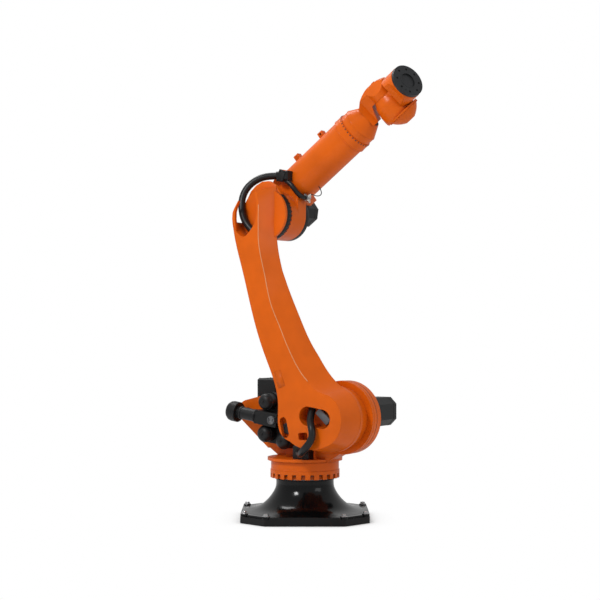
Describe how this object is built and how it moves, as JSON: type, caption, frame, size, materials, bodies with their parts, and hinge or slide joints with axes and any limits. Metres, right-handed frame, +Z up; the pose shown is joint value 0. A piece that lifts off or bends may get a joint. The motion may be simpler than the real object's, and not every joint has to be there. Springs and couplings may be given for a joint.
{
  "type": "industrial robot arm",
  "caption": "Six-axis industrial robot arm on a flared cast base, with a turning column, link arm, counterbalance, tubular forearm and three-axis wrist with a bolt-circle tool flange.",
  "frame": {"origin": "centre of the underside of the base plate, on the floor under the turning axis", "axes": "+Z up, X and Y square to the base plate; the viewer of the picture looks along +Y; the arm is turned 33 degrees from +X towards the viewer"},
  "size_m": [1.2612, 0.9869, 2.8201],
  "materials": {
    "orange_paint": "satin",
    "black_enamel": "gloss",
    "black_paint": "satin",
    "bare_steel": "satin",
    "dark_steel": "satin",
    "black_plastic": "matte",
    "hose_rubber": "matte"
  },
  "bodies": {
    "base": {"base_frame": "black_enamel", "turntable_bearing": "bare_steel"},
    "column": {"turntable_ring": "orange_paint", "rotating_column": "orange_paint", "shoulder_gear_ring": "orange_paint", "shoulder_motor": "black_paint", "turntable_motor": "black_paint", "counterbalance_bracket": "orange_paint", "column_socket": "black_paint"},
    "counterbalance": {"counterbalance_cylinder": "black_paint", "counterbalance_rod": "bare_steel", "accumulator_upper": "black_paint", "accumulator_middle": "black_paint", "accumulator_lower": "black_paint", "valve_block": "black_paint", "pressure_gauge": "bare_steel"},
    "link": {"link_arm": "orange_paint", "lever_pin": "bare_steel", "hose_bar": "bare_steel", "lower_hose_gland": "bare_steel", "elbow_hose_gland": "bare_steel", "lower_hose": "hose_rubber"},
    "forearm": {"elbow_gear_ring": "orange_paint", "elbow_housing": "orange_paint", "forearm_tube": "orange_paint", "elbow_motor_rim": "black_paint", "elbow_motor": "black_paint", "elbow_hose": "hose_rubber", "hose_clamp": "black_plastic", "forearm_lugs": "orange_paint", "connector_hose": "hose_rubber", "hose_connectors": "bare_steel", "motor_cable": "hose_rubber"},
    "wrist": {"wrist_ring": "orange_paint", "wrist_fork": "orange_paint"},
    "head": {"wrist_head": "orange_paint", "wrist_end_cap": "orange_paint"},
    "flange": {"tool_flange": "dark_steel"}
  },
  "joints": [
    {"name": "column_turn", "type": "hinge", "parent": "base", "child": "column", "pos_m": [0, 0, 0.258], "axis": [0, 0, 1], "range_deg": [-152, 218]},
    {"name": "link_swing", "type": "hinge", "parent": "column", "child": "link", "pos_m": [0.27676, -0.17973, 0.66], "axis": [0.5446, 0.8387, 0], "range_deg": [-30, 105], "deforming": ["lower_hose"]},
    {"name": "forearm_swing", "type": "hinge", "parent": "link", "child": "forearm", "pos_m": [-0.11334, 0.07361, 1.93798], "axis": [-0.5446, -0.8387, 0], "range_deg": [-81.5, 193.5], "deforming": ["elbow_hose"]},
    {"name": "wrist_roll", "type": "hinge", "parent": "forearm", "child": "wrist", "pos_m": [0.31739, -0.20611, 2.46108], "axis": [0.6742, -0.4378, 0.5948], "range_deg": [-286, 414]},
    {"name": "wrist_bend", "type": "hinge", "parent": "wrist", "child": "head", "pos_m": [0.51357, -0.33352, 2.63417], "axis": [0.6871, 0.0765, -0.7225], "range_deg": [-149, 101]},
    {"name": "flange_turn", "type": "hinge", "parent": "head", "child": "flange", "pos_m": [0.61472, -0.48638, 2.71418], "axis": [0.5057, -0.7643, 0.4001], "range_deg": [-350, 350]},
    {"name": "counterbalance_tilt", "type": "hinge", "parent": "column", "child": "counterbalance", "pos_m": [-0.43143, 0.12517, 0.672], "axis": [-0.5446, -0.8387, 0], "range_deg": [-8.2, 28.5]}
  ],
  "couplings": [
    {"joint": "counterbalance_tilt", "follows": "link_swing", "ratio": 0.27}
  ]
}
